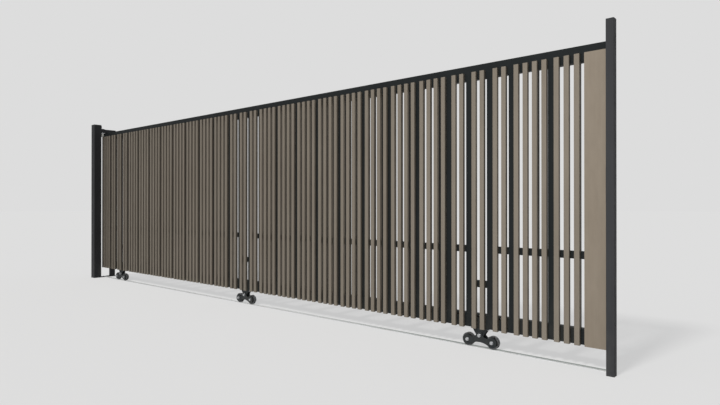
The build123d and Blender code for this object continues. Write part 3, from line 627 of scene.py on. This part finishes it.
def lock_nut(bm, place, width, bore, low, high):
    """A hexagon with a rolled collar round the locking insert."""
    foot, reach, lip = collar(width, low, high)
    hexagon(bm, place, width, low, foot, bore)
    edge = [(reach - inward * lip, high - down * lip) for inward, down in COLLAR_EDGE]
    turned(bm, place, [(reach, foot - lip), *edge, (reach - COLLAR_WALL * lip, foot)], FINE_STEPS)


def insert_ring(bm, place, width, bore, low, high):
    """The nylon ring inside a lock nut's collar."""
    foot, reach, lip = collar(width, low, high)
    outer = reach - COLLAR_WALL * lip
    top = high - INSERT_DROP * lip
    profile = [(bore, foot), (outer, foot), (outer, top), (bore, top - INSERT_SLOPE * lip), (bore, foot)]
    turned(bm, place, profile)


def through_bolts(node, body, centres, materials):
    """Replaces one set of M12 bolts across a rocker, each with washers and a lock nut."""
    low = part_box(node)[0]
    washer_outer = -low.y - M12_HEAD
    washer_inner = washer_outer - WASHER_THICKNESS
    nut_top = washer_outer + M12_NUT
    metal = bmesh.new()
    nylon = bmesh.new()
    for x, z in centres:
        front = to_front(x, z)
        back = to_back(x, z)
        head(metal, front, M12_WIDTH, washer_outer, washer_outer + M12_HEAD)
        washer(metal, front, M12_RADIUS, M12_WASHER_RADIUS, washer_inner, washer_outer)
        washer(metal, back, M12_RADIUS, M12_WASHER_RADIUS, washer_inner, washer_outer)
        rod(metal, back, M12_RADIUS, -washer_outer, washer_outer)
        lock_nut(metal, back, M12_WIDTH, M12_RADIUS, washer_outer, nut_top)
        insert_ring(nylon, back, M12_WIDTH, M12_RADIUS, washer_outer, nut_top)
        thread(metal, back, M12_RADIUS, washer_outer, nut_top + BOLT_END, M12_PITCH)
    bolts = piece_from(metal, node + "_bolts", "zinc", body, materials)
    piece_from(nylon, node + "_inserts", "nylon", body, materials)
    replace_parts(bolts, node)


def bracket_bolts(materials):
    """Replaces the M10 bolts that hold each bracket under the bottom rail."""
    node = "bracket_bolts"
    low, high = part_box(node)
    head_top = low.z + M10_HEAD
    nut_top = high.z - BOLT_END
    nut_seat = nut_top - M10_NUT
    metal = bmesh.new()
    for bogie in BOGIES:
        plate_low, plate_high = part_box(bogie + "_bogie_bracket")
        middle = (plate_low.x + plate_high.x) / 2
        for side in (-1, 1):
            x = middle + side * BRACKET_BOLT_SPACING / 2
            head(metal, downward(x), M10_WIDTH, -head_top, -low.z)
            rod(metal, upward(x), M10_RADIUS, head_top, nut_seat)
            lock_nut(metal, upward(x), M10_WIDTH, M10_RADIUS, nut_seat, nut_top)
            thread(metal, upward(x), M10_RADIUS, nut_seat, high.z, M10_PITCH)
    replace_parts(piece_from(metal, "bracket_bolt_set", "zinc", "leaf", materials), node)


# ------------------------------------------------------------------ welds
WELD_LEG = 4.5 * MM
WELD_PROUD = 1.1 * MM
WELD_STEP = 2.2 * MM
WELD_END = 3.0 * MM
WELD_END_SIZE = 0.25
WELD_SMOOTH_BELOW = radians(60)

# A bead's thickness alternates from step to step, and wavers along it from another start in each bead.
RIPPLES = (-0.05, 0.07)
WAVER = 0.06
WAVER_TURN = 1.7
WAVER_SHIFT = 40

# Sections as shares of WELD_LEG along each wall, and of WELD_LEG aside and WELD_PROUD outwards.
FILLET = ((-0.25, -0.25), (1, 0), (0.78, 0.42), (0.42, 0.78), (0, 1))
CROWN = ((1, -1), (0.85, 0.4), (0.4, 1), (-0.4, 1), (-0.85, 0.4), (-1, -1))

STILE_GAP = 60.0 * MM
POST_CORNER = 1.5 * WELD_LEG
RIGHT = Vector((1, 0, 0))
BACK = Vector((0, 1, 0))
UP = Vector((0, 0, 1))


def bead(bm, start, end, section):
    """Lays a rippled bead along a line; section holds offsets from the line, all the way round it."""
    run = end - start
    count = max(3, int(run.length / WELD_STEP))
    previous = None
    for i in range(count + 1):
        share = i / count
        fade = min(1.0, min(share, 1 - share) * run.length / WELD_END + WELD_END_SIZE)
        ripple = 1.0 + RIPPLES[i % 2] + WAVER * sin(WAVER_TURN * i + WAVER_SHIFT * start.x)
        middle = start + run * share
        ring = [bm.verts.new(middle + offset * fade * ripple) for offset in section]
        if previous:
            skin(bm, previous, ring)
        else:
            bm.faces.new(ring)
        previous = ring
    bm.faces.new(list(reversed(previous)))


def corner_section(first_wall, second_wall):
    """A convex fillet between two walls; it sinks a little into the corner."""
    return [(first_wall * first + second_wall * second) * WELD_LEG for first, second in FILLET]


def flush_section(across, outward):
    """A low crown over a butt joint in a flat face."""
    return [across * WELD_LEG * aside + outward * WELD_PROUD * rise for aside, rise in CROWN]


def stile_spans():
    """The X range of each stile, from the gaps between the node's points."""
    across = sorted({round(v.co.x, 5) for v in nodes["stiles"].data.vertices})
    spans = [[across[0], across[0]]]
    for x in across[1:]:
        if x - spans[-1][1] > STILE_GAP:
            spans.append([x, x])
        spans[-1][1] = x
    return spans


def crossbar_spans(stiles):
    """The left end, right end, underside and top of the crossbar in each bay, from left to right."""
    points = [(v.co.x, v.co.z) for v in nodes["crossbars"].data.vertices]
    bars = []
    for (_, left), (right, _) in zip(stiles, stiles[1:]):
        heights = [z for x, z in points if left - MM < x < right + MM]
        bars.append((left, right, min(heights), max(heights)))
    return bars


def leaf_welds(materials):
    """Beads where each stile meets the rails and where each crossbar meets its stiles."""
    bm = bmesh.new()
    low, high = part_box("stiles")
    front_end = low.y + WELD_LEG
    back_end = high.y - WELD_LEG
    levels = ((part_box("bottom_rail")[1].z, UP), (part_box("top_rail")[0].z, -UP))
    stiles = stile_spans()
    for left, right in stiles:
        for z, away in levels:
            for x, side in ((left, -RIGHT), (right, RIGHT)):
                bead(bm, Vector((x, front_end, z)), Vector((x, back_end, z)), corner_section(side, away))
            start = Vector((left + WELD_PROUD, high.y, z))
            end = Vector((right - WELD_PROUD, high.y, z))
            bead(bm, start, end, flush_section(away, BACK))
    bar_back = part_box("crossbars")[1].y
    for left, right, under, top in crossbar_spans(stiles):
        for x, side in ((left, RIGHT), (right, -RIGHT)):
            bead(bm, Vector((x, bar_back, under)), Vector((x, bar_back, top)), corner_section(side, BACK))
    piece_from(bm, "leaf_welds", "frame_paint", "leaf", materials, WELD_SMOOTH_BELOW)


def post_welds(materials):
    """Beads round the feet of both portal posts and round the bar's seat on the slim one."""
    bm = bmesh.new()
    plate_low, plate_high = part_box("portal_base_plate")
    for post, z, away in (
        ("portal_front_post", plate_high.z, UP),
        ("portal_rear_post", plate_high.z, UP),
        ("portal_rear_post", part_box("portal_top_bar")[0].z, -UP),
    ):
        low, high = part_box(post)
        for x, side in ((low.x, -RIGHT), (high.x, RIGHT)):
            if plate_low.x + WELD_LEG < x < plate_high.x - WELD_LEG:
                start = Vector((x, low.y + POST_CORNER, z))
                end = Vector((x, high.y - POST_CORNER, z))
                bead(bm, start, end, corner_section(side, away))
        for y, side in ((low.y, -BACK), (high.y, BACK)):
            if plate_low.y + WELD_LEG < y < plate_high.y - WELD_LEG:
                start = Vector((low.x + POST_CORNER, y, z))
                end = Vector((high.x - POST_CORNER, y, z))
                bead(bm, start, end, corner_section(side, away))
    piece_from(bm, "post_welds", "post_paint", "ground_frame", materials, WELD_SMOOTH_BELOW)


# ------------------------------------------------------------------ run
set_camera()
set_world()
set_sun()
set_softbox(make_floor())
materials = make_materials()
slot_of = {entry["node"]: entry["material_slot"] for entry in frame["record"]["subparts"]}
for node_name, node in nodes.items():
    for material_slot in node.material_slots:
        material_slot.material = materials[slot_of[node_name]]

for bogie in BOGIES:
    pivot = joints[bogie + "_rocker_tilt"]["pos_m"]
    axles = [joints[bogie + "_" + side + "_wheel_roll"]["pos_m"] for side in ("left", "right")]
    through_bolts(bogie + "_pivot_bolt", "leaf", [(pivot[0], pivot[2])], materials)
    through_bolts(bogie + "_axle_bolts", bogie + "_rocker", [(x, z) for x, y, z in axles], materials)
bracket_bolts(materials)
leaf_welds(materials)
post_welds(materials)
